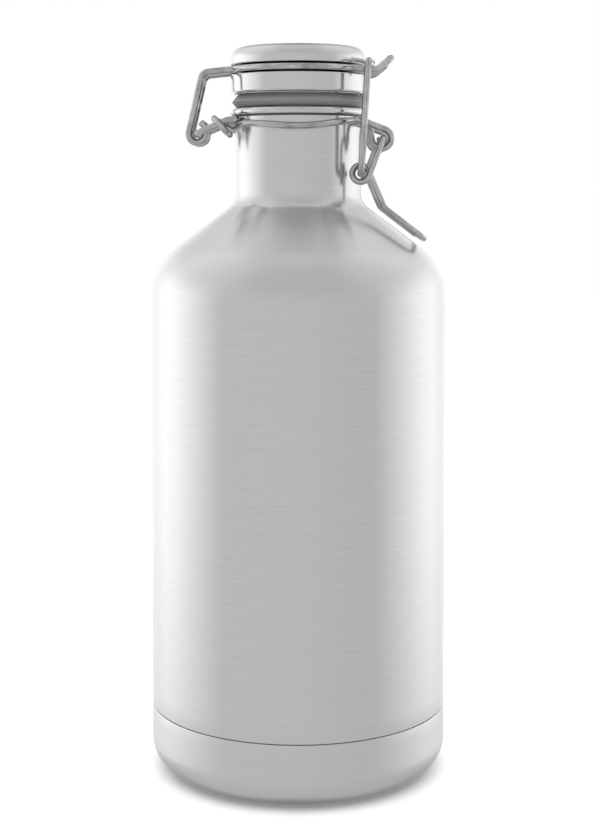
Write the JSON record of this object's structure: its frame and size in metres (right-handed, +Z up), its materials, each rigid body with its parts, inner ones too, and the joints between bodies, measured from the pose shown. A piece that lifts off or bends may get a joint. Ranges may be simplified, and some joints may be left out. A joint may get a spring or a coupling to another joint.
{
  "type": "growler",
  "caption": "Double-walled steel growler with a narrow neck, a flat cap hinged on wire, and an over-centre wire lever that clamps the cap on its gasket.",
  "frame": {"origin": "centre of the base, on the plane that the bottle stands on", "axes": "+Z up along the bottle's axis; +X towards the lever; the cap's hinge is at -X; the mechanism is a mirror image of itself about the plane Y = 0"},
  "size_m": [0.12, 0.12, 0.2936],
  "materials": {
    "shell_steel": "fine brushed round the bottle",
    "base_steel": "satin, brushed round the bottle",
    "vessel_steel": "electropolished",
    "floor_steel": "mill finish, hidden",
    "getter_alloy": "sintered, dull",
    "port_solder": "fused, glossy",
    "adhesive": "cured, dull",
    "cap_steel": "fine brushed",
    "core_plastic": "moulded",
    "foam": "open foam",
    "silicone": "smooth, dull",
    "wire_steel": "drawn and polished"
  },
  "bodies": {
    "bottle": {"outer_shell": "shell_steel", "base_cup": "base_steel", "inner_vessel": "vessel_steel", "vacuum_floor": "floor_steel", "getter_clip": "floor_steel", "getter": "getter_alloy", "port_seal": "port_solder", "base_adhesive": "adhesive", "hinge_bail": "wire_steel", "collar_wire": "wire_steel"},
    "cap": {"cap_shell": "cap_steel", "cap_pan": "cap_steel", "cap_core": "core_plastic", "cap_foam": "foam", "gasket": "silicone", "cap_wire": "wire_steel"},
    "lever": {"lever_wire": "wire_steel"},
    "link": {"link_bail": "wire_steel"}
  },
  "joints": [
    {"name": "cap_hinge", "type": "hinge", "parent": "bottle", "child": "cap", "pos_m": [-0.0406, 0, 0.2585], "axis": [0, -1, 0], "range_deg": [0, 180], "deforming": ["link_bail"]},
    {"name": "lever_pivot", "type": "hinge", "parent": "bottle", "child": "lever", "pos_m": [0.03365, 0, 0.257], "axis": [0, -1, 0], "range_deg": [0, 140], "deforming": ["link_bail"]},
    {"name": "link_swing", "type": "hinge", "parent": "lever", "child": "link", "pos_m": [0.0247, 0, 0.2426], "axis": [0, -1, 0], "range_deg": [-300, 0], "deforming": ["link_bail"]}
  ],
  "couplings": [
    {"joint": "link_swing", "follows": "lever_pivot", "ratio": -2.1}
  ]
}
